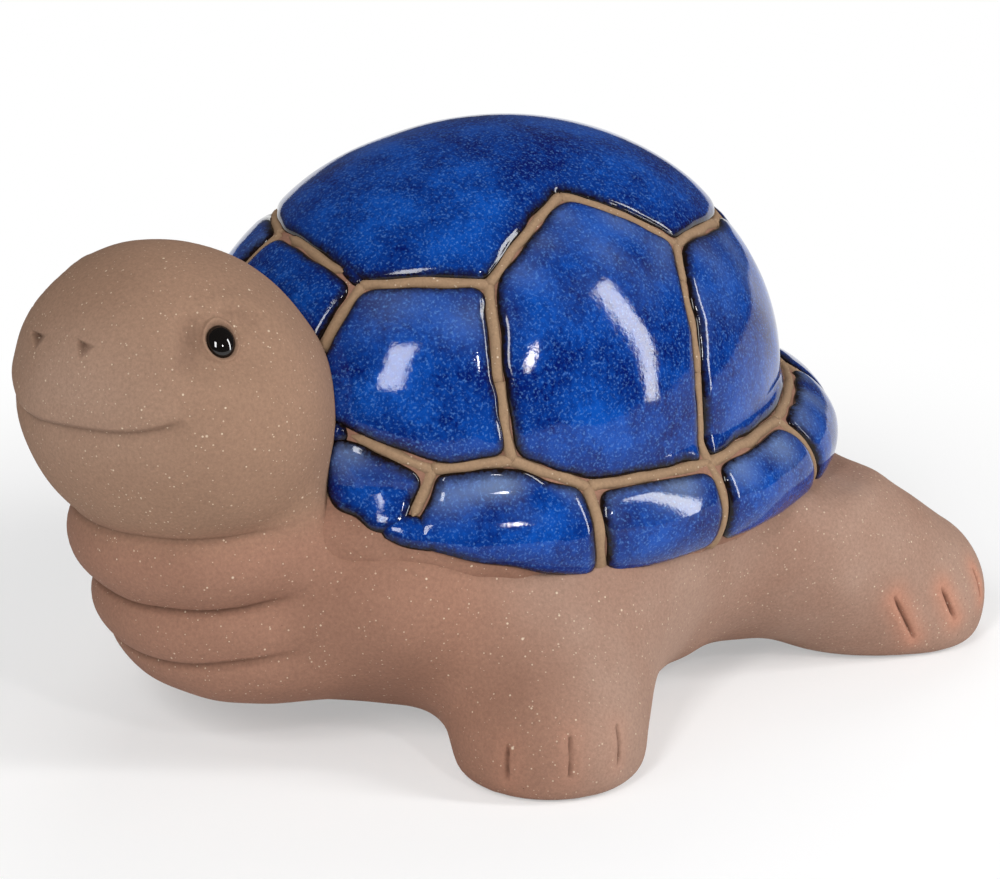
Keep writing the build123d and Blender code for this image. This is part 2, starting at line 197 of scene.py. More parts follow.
def chamotteClay():
    # body colour mixed towards each other colour by its share, times blotch and grain, with specks on top;
    # one share lays painted shade into the grooves, and the pale share is ash on the rear and painted light
    # on the front of the face
    material = bpy.data.materials.new("chamotte stoneware")
    material.use_nodes = True
    tree = material.node_tree
    shader = tree.nodes["Principled BSDF"]
    place = addNode(tree, "ShaderNodeTexCoord").outputs["Object"]
    blotch = addNode(tree, "ShaderNodeTexNoise", {"Scale": perMetre / clayLook["blotchSize"],
                     "Detail": clayLook["blotchDetail"]}, {"Vector": place}).outputs["Fac"]
    grain = addNode(tree, "ShaderNodeTexNoise", {"Scale": perMetre / clayLook["grainSize"],
                    "Detail": clayLook["grainDetail"], "Roughness": clayLook["grainRoughness"]},
                    {"Vector": place}).outputs["Fac"]
    shares = {name: addNode(tree, "ShaderNodeAttribute", attribute_name=name).outputs["Fac"]
              for name in ("headShare", "ashAndPaintedLight", "lineShare", "blush", "crease")}
    ashAndLightSpread = addNode(tree, "ShaderNodeMapRange", clayLook["ashAndLightSpread"], {"Value": blotch})
    ashAndPaintedLight = addNode(tree, "ShaderNodeMath", {}, {0: ashAndLightSpread.outputs["Result"], 1: shares["ashAndPaintedLight"]},
                  operation="MULTIPLY").outputs["Value"]
    layers = {"headColour": shares["headShare"], "ashAndPaintedLightColour": ashAndPaintedLight, "lineColour": shares["lineShare"],
              "blushColour": shares["blush"], "creaseColour": shares["crease"]}
    colour = None
    for key, share in layers.items():
        mix = addNode(tree, "ShaderNodeMix", {"A": linearColour(clayLook["bodyColour"]),
                      "B": linearColour(clayLook[key])}, {"Factor": share}, data_type="RGBA")
        if colour:
            tree.links.new(colour, mix.inputs["A"])
        colour = mix.outputs[2]
    blotchLevel = addNode(tree, "ShaderNodeMapRange", clayLook["blotchLevel"], {"Value": blotch})
    grainLevel = addNode(tree, "ShaderNodeMapRange", clayLook["grainLevel"], {"Value": grain})
    level = addNode(tree, "ShaderNodeMath", {}, {0: blotchLevel.outputs["Result"],
                    1: grainLevel.outputs["Result"]}, operation="MULTIPLY")
    colour = addNode(tree, "ShaderNodeVectorMath", {}, {0: colour, "Scale": level.outputs["Value"]},
                     operation="SCALE").outputs["Vector"]
    for key, size, radius, empty, strength in clayLook["specks"]:
        cells = addNode(tree, "ShaderNodeTexVoronoi", {"Scale": perMetre / size}, {"Vector": place})
        luck = addNode(tree, "ShaderNodeSeparateColor", {}, {"Color": cells.outputs["Color"]})
        reach = addNode(tree, "ShaderNodeMapRange", {"From Min": empty, "From Max": 1.0, "To Min": 0.0,
                        "To Max": radius}, {"Value": luck.outputs["Red"]})
        inside = addNode(tree, "ShaderNodeMath", {}, {0: reach.outputs["Result"],
                         1: cells.outputs["Distance"]}, operation="SUBTRACT")
        speck = addNode(tree, "ShaderNodeMapRange", {"From Min": 0.0, "From Max": clayLook["speckEdge"],
                        "To Max": strength}, {"Value": inside.outputs["Value"]})
        colour = addNode(tree, "ShaderNodeMix", {"B": linearColour(clayLook[key])},
                         {"Factor": speck.outputs["Result"], "A": colour}, data_type="RGBA").outputs[2]
    tree.links.new(colour, shader.inputs["Base Color"])
    shader.inputs["Roughness"].default_value = clayLook["roughness"]
    shader.inputs["Specular IOR Level"].default_value = clayLook["specular"]
    bump = addNode(tree, "ShaderNodeBump", clayLook["bump"], {"Height": grain})
    tree.links.new(bump.outputs["Normal"], shader.inputs["Normal"])
    return material


# reactive cobalt glaze: fired glass, blue where it pooled thick, burnt brown-black where it thins at an
# edge; the piece's edge attribute is the distance from the pool's outline in millimetres
glazeLook = {
    "deepColour": "#02155A", "midColour": "#0B469E", "paleColour": "#5F93D6", "edgeColour": "#140C0A",
    "milkColour": "#8FA3BE", "cloudSize": 17.0, "cloudDetail": 3.0, "cloudWeight": 1.7,
    "mottleSize": 1.7, "mottleDetail": 3.0, "mottleRoughness": 0.65,
    "fleckSize": 0.75, "fleckDetail": 2.0,  # coarser than the real flecks, so that they show
    "shade": {"From Min": 1.02, "From Max": 1.66},
    "pooled": {"From Min": 0.0, "From Max": 9.0, "To Min": 0.35},
    "flecks": {"From Min": 0.54, "From Max": 0.78, "To Max": 0.5},
    "edgeStart": 0.45, "edgeWidth": 2.6, "edgeRagged": 2.4,
    "pitSize": 4.2, "pitReach": {"From Min": 0.72, "From Max": 1.0, "To Min": 0.0, "To Max": 0.13},
    "pitEdge": 0.06, "pitWeight": 1.5, "bump": {"Strength": 0.35, "Distance": 0.09 * mm},
    "roughness": 0.05, "shine": 0.27,
}


def cobaltGlaze():
    # deep to mid blue by cloud and mottle, deeper near the outline, then flecks, milk and the burnt edge
    material = bpy.data.materials.new("reactive cobalt glaze")
    material.use_nodes = True
    tree = material.node_tree
    shader = tree.nodes["Principled BSDF"]
    place = addNode(tree, "ShaderNodeTexCoord").outputs["Object"]
    cloud = addNode(tree, "ShaderNodeTexNoise", {"Scale": perMetre / glazeLook["cloudSize"],
                    "Detail": glazeLook["cloudDetail"]}, {"Vector": place}).outputs["Fac"]
    mottle = addNode(tree, "ShaderNodeTexNoise", {"Scale": perMetre / glazeLook["mottleSize"],
                     "Detail": glazeLook["mottleDetail"], "Roughness": glazeLook["mottleRoughness"]},
                     {"Vector": place}).outputs["Fac"]
    fleck = addNode(tree, "ShaderNodeTexNoise", {"Scale": perMetre / glazeLook["fleckSize"],
                    "Detail": glazeLook["fleckDetail"]}, {"Vector": place}).outputs["Fac"]
    edge = addNode(tree, "ShaderNodeAttribute", attribute_name="edge").outputs["Fac"]
    milk = addNode(tree, "ShaderNodeAttribute", attribute_name="milk").outputs["Fac"]
    both = addNode(tree, "ShaderNodeMath", {1: glazeLook["cloudWeight"]}, {0: cloud, 2: mottle},
                   operation="MULTIPLY_ADD")
    shade = addNode(tree, "ShaderNodeMapRange", glazeLook["shade"], {"Value": both.outputs["Value"]})
    pooled = addNode(tree, "ShaderNodeMapRange", glazeLook["pooled"], {"Value": edge})
    shade = addNode(tree, "ShaderNodeMath", {}, {0: shade.outputs["Result"], 1: pooled.outputs["Result"]},
                    operation="MULTIPLY")
    blue = addNode(tree, "ShaderNodeMix", {"A": linearColour(glazeLook["deepColour"]),
                   "B": linearColour(glazeLook["midColour"])}, {"Factor": shade.outputs["Value"]},
                   data_type="RGBA")
    flecks = addNode(tree, "ShaderNodeMapRange", glazeLook["flecks"], {"Value": fleck})
    flecked = addNode(tree, "ShaderNodeMix", {"B": linearColour(glazeLook["paleColour"])},
                      {"Factor": flecks.outputs["Result"], "A": blue.outputs[2]}, data_type="RGBA")
    milky = addNode(tree, "ShaderNodeMix", {"B": linearColour(glazeLook["milkColour"])},
                    {"Factor": milk, "A": flecked.outputs[2]}, data_type="RGBA")
    wander = addNode(tree, "ShaderNodeMath", {1: glazeLook["edgeRagged"], 2: -glazeLook["edgeRagged"] / 2},
                     {0: mottle}, operation="MULTIPLY_ADD")
    edgePlace = addNode(tree, "ShaderNodeMath", {}, {0: edge, 1: wander.outputs["Value"]}, operation="ADD")
    edgeEnd = glazeLook["edgeStart"] + glazeLook["edgeWidth"]
    thin = addNode(tree, "ShaderNodeMapRange", {"From Min": glazeLook["edgeStart"], "From Max": edgeEnd,
                   "To Min": 1.0, "To Max": 0.0}, {"Value": edgePlace.outputs["Value"]})
    edgeDarkening = addNode(tree, "ShaderNodeMix", {"B": linearColour(glazeLook["edgeColour"])},
                    {"Factor": thin.outputs["Result"], "A": milky.outputs[2]}, data_type="RGBA")
    cells = addNode(tree, "ShaderNodeTexVoronoi", {"Scale": perMetre / glazeLook["pitSize"]},
                    {"Vector": place})
    luck = addNode(tree, "ShaderNodeSeparateColor", {}, {"Color": cells.outputs["Color"]})
    reach = addNode(tree, "ShaderNodeMapRange", glazeLook["pitReach"], {"Value": luck.outputs["Red"]})
    inside = addNode(tree, "ShaderNodeMath", {}, {0: reach.outputs["Result"], 1: cells.outputs["Distance"]},
                     operation="SUBTRACT")
    pit = addNode(tree, "ShaderNodeMapRange", {"From Min": 0.0, "From Max": glazeLook["pitEdge"]},
                  {"Value": inside.outputs["Value"]})
    tree.links.new(edgeDarkening.outputs[2], shader.inputs["Base Color"])
    shader.inputs["Roughness"].default_value = glazeLook["roughness"]
    shader.inputs["Specular IOR Level"].default_value = glazeLook["shine"]
    height = addNode(tree, "ShaderNodeMath", {1: glazeLook["pitWeight"]},
                     {0: pit.outputs["Result"], 2: mottle}, operation="MULTIPLY_ADD")
    bump = addNode(tree, "ShaderNodeBump", glazeLook["bump"], {"Height": height.outputs["Value"]})
    tree.links.new(bump.outputs["Normal"], shader.inputs["Normal"])
    return material


# black gloss glaze: a fired drop of glass, black all through and smooth enough to show sharp sparks of light
eyeLook = {"Base Color": linearColour("#0B0807"), "Roughness": 0.04, "IOR": 1.55}


def blackGlaze():
    # one even shader, with nothing drawn on it
    material = bpy.data.materials.new("black gloss glaze")
    material.use_nodes = True
    for name, value in eyeLook.items():
        material.node_tree.nodes["Principled BSDF"].inputs[name].default_value = value
    return material


clay = chamotteClay()
glaze = cobaltGlaze()
eyeGlaze = blackGlaze()
print("materials made")

# shell: a tilted dome on a flared skirt, as distances from one centre along any direction
carapaceLow, carapaceHigh = boxOf("carapace")
shell = {
    "centre": np.array([0.0, (carapaceLow[1] + carapaceHigh[1]) / 2, 68.0]),
    "domeHalf": np.array([78.8, 94.7, 80.5]), "domeShift": np.array([0.0, -6.5, 15.2]), "domeTilt": 9.2,
    "skirtShift": np.array([0.0, 0.0, -2.0]),
    "skirtHalf": np.array([carapaceHigh[0], (carapaceHigh[1] - carapaceLow[1]) / 2, 35.0]), "blend": 5.0,
    "poleWay": np.array([0.0, 0.13, 1.0]), "normalStep": 0.004,  # for normals: a way near up, and the step
}


def tilted(points, degrees):
    # points turned about the x axis, so that what was tilted rear end up comes level
    t = np.radians(degrees)
    y = points[..., 1] * np.cos(t) + points[..., 2] * np.sin(t)
    z = points[..., 2] * np.cos(t) - points[..., 1] * np.sin(t)
    return np.stack([points[..., 0], y, z], -1)


def ellipsoidReach(ways, shift, half, tilt=0.0):
    # distance along each direction to an ellipsoid about a shifted centre: the larger root of a quadratic
    start = tilted(-shift, tilt) / half
    step = tilted(ways, tilt) / half
    a = (step * step).sum(-1)
    b = (step * start).sum(-1)
    return (-b + np.sqrt(b * b - a * ((start * start).sum() - 1))) / a


def shellReach(ways):
    # distance from the shell's centre to its clay: the farther of dome and skirt, rounded where they meet
    dome = ellipsoidReach(ways, shell["domeShift"], shell["domeHalf"], shell["domeTilt"])
    skirt = ellipsoidReach(ways, shell["skirtShift"], shell["skirtHalf"])
    return -smoothUnion(-dome, -skirt, shell["blend"])


def shellPoint(ways):
    # the centre plus each direction times its reach
    return shell["centre"] + ways * shellReach(ways)[..., None]


def shellNormal(ways):
    # outward normal from two small steps sideways on the shell
    side = unit(np.cross(ways, shell["poleWay"]))
    rise = np.cross(side, ways)
    here = shellPoint(ways)
    a = shellPoint(unit(ways + shell["normalStep"] * side)) - here
    b = shellPoint(unit(ways + shell["normalStep"] * rise)) - here
    return unit(np.cross(b, a))


# carapace clay: rings of the shell from below its seam to the crown
carapaceGrid = {"rows": 150, "columns": 360, "lowPitch": -24.0, "highPitch": 89.5, "swell": 0.25,
                "swellSize": 9.0, "swellSeed": 3}
pitches = np.linspace(carapaceGrid["lowPitch"], carapaceGrid["highPitch"], carapaceGrid["rows"])
angles = np.linspace(0, 360, carapaceGrid["columns"], endpoint=False)
ways = wayTo(angles[None, :], pitches[:, None])
points = shellPoint(ways).reshape(-1, 3)
swell = carapaceGrid["swell"] * ripple(points, carapaceGrid["swellSize"], carapaceGrid["swellSeed"])
points += shellNormal(ways).reshape(-1, 3) * swell[:, None]
crown = shellPoint(np.array([0.0, 0.0, 1.0]))
floorHub = points[:carapaceGrid["columns"]].mean(0)
points = np.vstack([points, crown, floorHub])
makePiece("carapaceClay", points, closedFaces(carapaceGrid["rows"], carapaceGrid["columns"]), ["carapace"],
          clay, {"headShare": np.zeros(len(points))})
print("carapace made")

# scutes: corners as (angle from the nose, pitch above the shell's centre) in degrees
corners = {
    "front": (21.0, 41.9), "shoulder": (50.0, 45.6), "peak": (78.3, 64.7), "hip": (112.4, 49.5),
    "croup": (142.3, 46.3), "rear": (157.0, 44.0), "nape": (18.0, 29.9), "collar": (22.0, 18.6),
    "armpit": (40.6, 12.9), "elbow": (54.6, 14.6), "flank": (70.0, 8.5), "side": (99.4, 7.8),
    "thigh": (127.0, 8.8), "stern": (157.8, 9.7), "waist": (100.9, 25.9), "loin": (106.2, 42.8),
    "breast": (52.5, 28.4), "throat": (16.0, 17.5), "-front": (-12.6, 46.4),
    "collarRim": (21.5, 6.4), "collarLow": (29.5, 2.9), "armpitRim": (36.5, 0.4), "elbowRim": (53.0, -4.6),
    "flankRim": (71.2, -9.5), "sideRim": (99.0, -9.2), "thighRim": (133.0, -7.0), "sternRim": (157.0, -5.5),
}
middleScutes = {
    "top_scute": ["front", "shoulder", "peak", "hip", "croup", "rear",
                  "-rear", "-croup", "-hip", "-peak", "-shoulder", "-front"],
    "front_scute": ["front", "-front", "-nape", "-throat", "throat", "nape"],
    "rear_scute": ["rear", "stern", "-stern", "-rear"],
    "rear_marginal_scute": ["stern", "sternRim", "-sternRim", "-stern"],
}
leftScutes = {
    "costal_scute_1": ["front", "shoulder", "breast", "elbow", "armpit", "collar", "throat", "nape"],
    "costal_scute_2": ["shoulder", "peak", "hip", "loin", "waist", "side", "flank", "elbow", "breast"],
    "costal_scute_3": ["hip", "croup", "rear", "stern", "thigh", "side", "waist", "loin"],
    "marginal_scute_1": ["collar", "armpit", "armpitRim", "collarLow", "collarRim"],
    "marginal_scute_2": ["armpit", "elbow", "flank", "flankRim", "elbowRim", "armpitRim"],
    "marginal_scute_3": ["flank", "side", "sideRim", "flankRim"],
    "marginal_scute_4": ["side", "thigh", "thighRim", "sideRim"],
    "marginal_scute_5": ["thigh", "stern", "sternRim", "thighRim"],
}
# glaze runs: small pools that bridge a clay line, with corners as (angle, pitch)
glazeRuns = {
    "top_scute": [(13.2, 47.2), (19.5, 46.0), (23.4, 42.6), (20.4, 40.0), (13.6, 42.6)],
    "left_costal_scute_1": [(20.0, 20.5), (26.0, 20.2), (27.6, 15.7), (21.5, 14.3)],
    "left_marginal_scute_1": [(32.0, 5.2), (37.0, 6.6), (43.5, 5.0), (44.0, -1.4), (37.0, -0.6),
                              (32.5, 1.4)],
}
scuteShape = {
    "lineWidth": 3.4, "cornerCut": 5.0, "cutShare": 0.45, "bendSteps": 25, "step": 1.3, "rows": 40,
    "thickness": 1.9, "edgeRound": 4.2, "bulge": 1.0, "bulgeReach": 22.0, "swell": 0.3, "swellSize": 24.0,
    "edgeWander": 0.32, "edgeWanderSize": 11.0, "wanderSeeds": (100, 200), "rootDepth": 1.2, "runLift": 0.9,
    "marginalMilk": 0.4, "costalMilk": 0.16, "milkRise": (0.45, 0.95), "milkMottle": 0.4, "milkSize": 16.0,
    "milkSeed": 300, "poleWay": np.array([0.0, 0.02, 1.0]),  # a way near up, which sets a scute's own up
    "seeds": {"middle": 20, "left": 40, "right": 60, "run": 80},
}


def cornerWay(name):
    # a name with a minus sign and no place of its own is the same corner on the right side
    if name in corners:
        return wayTo(*corners[name])
    return wayTo(*corners[name.lstrip("-")]) * np.array([-1, 1, 1])


def waysOf(names):
    # the directions of several corners
    return np.array([cornerWay(name) for name in names])


def onRight(names):
    # the right side's corners of the same names
    return ["-" + name for name in names]


def scuteOutline(flat):
    # a polygon drawn in by half a clay line, its corners cut by parabolas, stepped evenly round
    ahead = unit(np.roll(flat, -1, 0) - flat)
    inward = np.stack([-ahead[:, 1], ahead[:, 0]], -1)
    before = np.roll(inward, 1, 0)
    turn = 1 + (inward * before).sum(-1)
    inner = flat + (inward + before) * (scuteShape["lineWidth"] / 2 / turn)[:, None]
    length = np.linalg.norm(np.roll(inner, -1, 0) - inner, axis=1)
    shorter = np.minimum(length, np.roll(length, 1))
    cut = np.minimum(scuteShape["cornerCut"], scuteShape["cutShare"] * shorter)
    start = inner - np.roll(ahead, 1, 0) * cut[:, None]
    end = inner + ahead * cut[:, None]
    t = np.linspace(0, 1, scuteShape["bendSteps"])[None, :, None]
    bends = (1 - t) ** 2 * start[:, None] + 2 * t * (1 - t) * inner[:, None] + t * t * end[:, None]
    curve = np.vstack([bends.reshape(-1, 2), bends[0, :1]])
    gone = pathLength(curve)
    at = np.linspace(0, gone[-1], int(gone[-1] / scuteShape["step"]), endpoint=False)
    return np.stack([np.interp(at, gone, curve[:, 0]), np.interp(at, gone, curve[:, 1])], -1)


def makeScute(node, cornerWays, seed, title="Glaze", milkLevel=0.0, lift=1.0):
    # a pillow of glaze: rings from the outline to its middle, each point lifted off the clay by a quarter
    # ellipse and a broad parabola of its distance from the outline, and a root below the clay closes it
    middle = unit(cornerWays.mean(0))
    across = unit(np.cross(scuteShape["poleWay"], middle))
    up = np.cross(middle, across)
    reach = shellReach(cornerWays).mean()
    flat = np.stack([cornerWays @ across, cornerWays @ up], -1) / (cornerWays @ middle)[:, None] * reach
    area = (flat[:, 0] * np.roll(flat[:, 1], -1) - np.roll(flat[:, 0], -1) * flat[:, 1]).sum()
    if area < 0:
        flat = flat[::-1]

    def toWay(place):
        # the direction of a place on the plane that touches the scute's middle
        return unit(reach * middle + place[..., :1] * across + place[..., 1:] * up)

    outline = scuteOutline(flat)
    if title == "Glaze":
        wander = [ripple(toWay(outline) * reach, scuteShape["edgeWanderSize"], seed + offset)
                  for offset in scuteShape["wanderSeeds"]]
        outline = outline + scuteShape["edgeWander"] * np.stack(wander, -1)
    hub = outline.mean(0)
    share = np.sin(np.linspace(0, np.pi / 2, scuteShape["rows"] + 1))[1:]
    plan = hub + share[::-1, None, None] * (outline - hub)[None]
    ways = toWay(plan)
    base = shellPoint(ways)
    gap = base[:, :, None, :] - base[0]
    edge = np.sqrt((gap * gap).sum(-1)).min(-1)
    edge[0] = 0
    lean = np.clip(edge / scuteShape["edgeRound"], 0, 1)
    height = lift * scuteShape["thickness"] * np.sqrt(1 - (1 - lean) ** 2)
    height += scuteShape["bulge"] * (1 - (1 - np.clip(edge / scuteShape["bulgeReach"], 0, 1)) ** 2)
    height += scuteShape["swell"] * lean * (ripple(base, scuteShape["swellSize"], seed) - 1) / 2
    normal = shellNormal(ways)
    points = base + normal * height[..., None]
    hubWay = toWay(hub[None])
    hubPoint, hubNormal = shellPoint(hubWay), shellNormal(hubWay)
    top = hubPoint + hubNormal * height[-1].mean()
    root = base[0] - normal[0] * scuteShape["rootDepth"]
    rootHub = hubPoint - hubNormal * scuteShape["rootDepth"]
    columns = len(outline)
    allPoints = np.vstack([root, points.reshape(-1, 3), top, rootHub])
    rise = (plan[..., 1] - outline[:, 1].min()) / np.ptp(outline[:, 1])
    patches = ripple(base, scuteShape["milkSize"], seed + scuteShape["milkSeed"])
    milk = milkLevel * smoothStep(*scuteShape["milkRise"], rise)
    milk = np.clip(milk * (1 - scuteShape["milkMottle"] * (1 - patches)), 0, 1)
    shares = {key: np.concatenate([np.zeros(columns), values.ravel(), [values[-1].mean()], [0]])
              for key, values in (("edge", edge), ("milk", milk))}
    makePiece(node + title, allPoints, closedFaces(scuteShape["rows"] + 1, columns), [node],
              glaze, shares)


for index, (node, names) in enumerate(middleScutes.items()):
    makeScute(node, waysOf(names), scuteShape["seeds"]["middle"] + index)
for index, (node, names) in enumerate(leftScutes.items()):
    milkLevel = scuteShape["marginalMilk" if node.startswith("marginal") else "costalMilk"]
    for side, sideNames in (("left", names), ("right", onRight(names))):
        seed = scuteShape["seeds"][side] + index
        makeScute(side + "_" + node, waysOf(sideNames), seed, milkLevel=milkLevel)
for index, (node, places) in enumerate(glazeRuns.items()):
    runWays = np.array([wayTo(*place) for place in places])
    makeScute(node, runWays, scuteShape["seeds"]["run"] + index, "Run", lift=scuteShape["runLift"])
print("scutes made")

# clay lines: rounded cords between the scutes, along the arcs from corner to corner, with painted shade at
# their feet
cord = {
    "width": 4.1, "height": 1.0, "sink": 1.3,
    "step": 1.2, "fewestRings": 6, "ringSteps": 11, "arcSteps": 200,
    "wander": 0.3, "wanderSize": 12.0, "widthWander": 0.1, "widthWanderSize": 7.0, "seed": 400,
    # the cords' feet, where they meet the glaze, carry painted shade, as strong as the last value on the
    # next line
    "rimSpread": 0.7, "rimStart": 0.55, "tipShare": 0.25, "tipReach": 3.0, "footShade": 0.85,
    # lines that end short, by how much at either end
    "short": {("-front", "front"): (7.0, 7.0), ("armpit", "collar"): (0.0, 8.0),
              ("armpit", "armpitRim"): (0.0, 9.0)},
}


def makeCord(start, end, trims, seed):
    # a ridge on the shell: rings of a half ellipse across an arc, its foot sunk below the clay; it spreads
    # at the rim and narrows where it ends short, and its two feet get painted shade, returned with the mesh
    arc = np.linspace(0, 1, cord["arcSteps"])[:, None]
    gone = pathLength(shellPoint(unit((1 - arc) * cornerWay(start) + arc * cornerWay(end))))
    rows = max(cord["fewestRings"], int((gone[-1] - sum(trims)) / cord["step"]))
    at = np.linspace(trims[0], gone[-1] - trims[1], rows)
    share = np.interp(at, gone, arc[:, 0])[:, None]
    ways = unit((1 - share) * cornerWay(start) + share * cornerWay(end))
    base, normal = shellPoint(ways), shellNormal(ways)
    side = np.cross(normal, unit(np.gradient(base, axis=0)))
    base = base + side * cord["wander"] * ripple(base, cord["wanderSize"], seed)[:, None]
    width = cord["width"] * (1 + cord["widthWander"] * ripple(base, cord["widthWanderSize"], seed + 1))
    if end.endswith("Rim"):
        width *= 1 + cord["rimSpread"] * smoothStep(cord["rimStart"], 1.0, share[:, 0])
    for trim, fromTip in zip(trims, (at - at[0], at[-1] - at)):
        if trim:
            width *= cord["tipShare"] + (1 - cord["tipShare"]) * smoothStep(0.0, cord["tipReach"], fromTip)
    bend = np.linspace(0, np.pi, cord["ringSteps"])[None, :, None]
    rise = np.sin(bend) * (cord["height"] + cord["sink"]) - cord["sink"]
    rings = base[:, None] + np.cos(bend) * (side * width[:, None] / 2)[:, None] + rise * normal[:, None]
    points = np.vstack([rings.reshape(-1, 3), rings[-1].mean(0), rings[0].mean(0)])
    faces = [block[:, ::-1] for block in closedFaces(rows, cord["ringSteps"])]
    # painted shade at the cord's two feet, none on its crown
    edgeDarkening = np.broadcast_to((1 - np.sin(bend[..., 0])) ** 2, rings.shape[:2]).ravel()
    return points, faces, np.concatenate([cord["footShade"] * edgeDarkening, [0, 0]])


outlines = list(middleScutes.values())
for names in leftScutes.values():
    outlines += [names, onRight(names)]
pairs = {tuple(sorted(pair)) for names in outlines for pair in zip(names, names[1:] + names[:1])}
lowEnds = ("Rim", "Low")
cordPoints, cordFaces, cordFootShades, count = [], [], [], 0
for index, (start, end) in enumerate(sorted(pairs)):
    if start.endswith(lowEnds) and end.endswith(lowEnds):
        continue
    if start.endswith("Rim"):
        start, end = end, start
    trims = cord["short"].get((start, end), (0.0, 0.0))
    points, faces, edgeDarkening = makeCord(start, end, trims, cord["seed"] + index)
    cordPoints.append(points)
    cordFootShades.append(edgeDarkening)
    cordFaces += [block + count for block in faces]
    count += len(points)
# the cords' foot shade is painted shade, in the same layer as the grooves' painted shade
makePiece("carapaceLines", np.vstack(cordPoints), cordFaces, ["carapace"], clay,
          {"lineShare": np.ones(count), "crease": np.concatenate(cordFootShades)})
print("clay lines made", len(cordPoints))

# clay figure: body, neck, head, legs and tail as one blended surface
frontReach = boxOf("front_left_leg")[1][0]
rearReach = boxOf("rear_left_leg")[1][1]
middleY = shell["centre"][1]
figure = {
    "bodyCentre": (0.0, middleY, carapaceLow[2]), "bodyHalf": (82.5, 103.0, 72.6),
    "bellyHeight": 6.8, "bellyRound": 10.0, "bodyTop": 57.0, "bodyTopRound": 3.0, "soleRound": 5.0,
    "shoulderCentre": (38.0, middleY - 65.5, 48.0), "shoulderHalf": (34.0, 34.0, 26.0),
    "shoulderBlend": 16.0,
    "headCentre": np.array([0.0, middleY - 114.6, 104.0]), "headHalf": np.array([50.4, 41.0, 45.6]),
    "headTurn": 6.0, "headTilt": 23.6, "headBlend": 3.0,
    "napeBlend": 17.0, "napeAcross": (18.0, 44.0), "napeAlong": (middleY - 118.0, middleY - 92.0),
    "chinCentre": (0.0, middleY - 105.0, 63.6), "chinHalf": (43.0, 39.0, 23.0),
    "rollCentre": (0.0, middleY - 94.4, 43.3), "rollHalf": (44.0, 42.8, 23.0),
    "chestCentre": (0.0, middleY - 91.8, 32.4), "chestHalf": (45.0, 38.7, 21.0),
    "rollBlend": 2.5, "neckBlend": 12.0,
    "frontFoot": (frontReach - 28.3, middleY - 44.1, 11.0), "frontFootRadius": 28.0,
    "frontHip": (60.0, middleY - 26.0, 32.3), "frontHipRadius": 31.2,
    "rearFoot": (65.3, rearReach - 28.2, 12.2), "rearFootRadius": 27.9,
    "rearHip": (57.5, middleY + 68.4, 38.2), "rearHipRadius": 31.5,
    "legTopRound": 4.0, "legBlend": 18.0,
    "tailCentre": np.array([0.0, middleY + 95.0, 33.0]), "tailHalf": (9.0, 24.0, 8.0), "tailDroop": 14.0,
    "tailBlend": 8.0,
    "voxel": 2.1, "margin": 6.0, "fieldStep": 0.3, "fitPasses": 3,
    "handSwell": 0.35, "handSize": 21.0, "handSeed": 5, "soleFade": (0.5, 4.0),
    # pale ash on the rear of the body, painted light in a pale patch on the front of the face, and how
    # softly the head's colour ends
    "rearAsh": 0.6, "rearAshAlong": (middleY - 72.0, middleY - 35.0), "faceLightPatch": 0.4,
    "faceLightPlace": (10.0, 15.0), "faceLightHalf": np.array([34.0, 30.0, 20.0]), "headEdge": 9.0,
}


def ellipsoidField(points, centre, half):
    # signed distance to an ellipsoid, near enough close to its surface
    q = (points - np.asarray(centre)) / np.asarray(half)
    size = np.linalg.norm(q, axis=-1)
    slope = np.linalg.norm(q / np.asarray(half), axis=-1)
    return size * (size - 1) / np.maximum(slope, 1e-6)


def postField(points, start, end, startRadius, endRadius):
    # signed distance to a post whose radius changes evenly from start to end
    start, end = np.asarray(start), np.asarray(end)
    along = end - start
    share = np.clip((points - start) @ along / (along @ along), 0, 1)
    nearest = start + share[..., None] * along
    return np.linalg.norm(points - nearest, axis=-1) - (startRadius + (endRadius - startRadius) * share)


def onLeft(points):
    # points with those on the right side mirrored to the left
    folded = points.copy()
    folded[..., 0] = np.abs(points[..., 0])
    return folded


def headPlace(points):
    # places about the head's centre, along its own axes: across, nose to nape, and up
    turn = np.radians(figure["headTurn"])
    x, y, z = np.moveaxis(points - figure["headCentre"], -1, 0)
    turned = np.stack([x * np.cos(turn) + y * np.sin(turn), y * np.cos(turn) - x * np.sin(turn), z], -1)
    return tilted(turned, figure["headTilt"])


def headField(points):
    # signed distance to the head's turned and tilted ellipsoid
    return ellipsoidField(headPlace(points), (0.0, 0.0, 0.0), figure["headHalf"])


def neckFields(points):
    # signed distances to the neck's three rolls, from the top down
    return [ellipsoidField(points, figure[name + "Centre"], figure[name + "Half"])
            for name in ("chin", "roll", "chest")]


def legField(points, end):
    # signed distance to a leg: a post from foot to hip, cut level under the shell
    post = postField(points, figure[end + "Foot"], figure[end + "Hip"], figure[end + "FootRadius"],
                     figure[end + "HipRadius"])
    return smoothCommon(post, points[..., 2] - figure["bodyTop"], figure["legTopRound"])


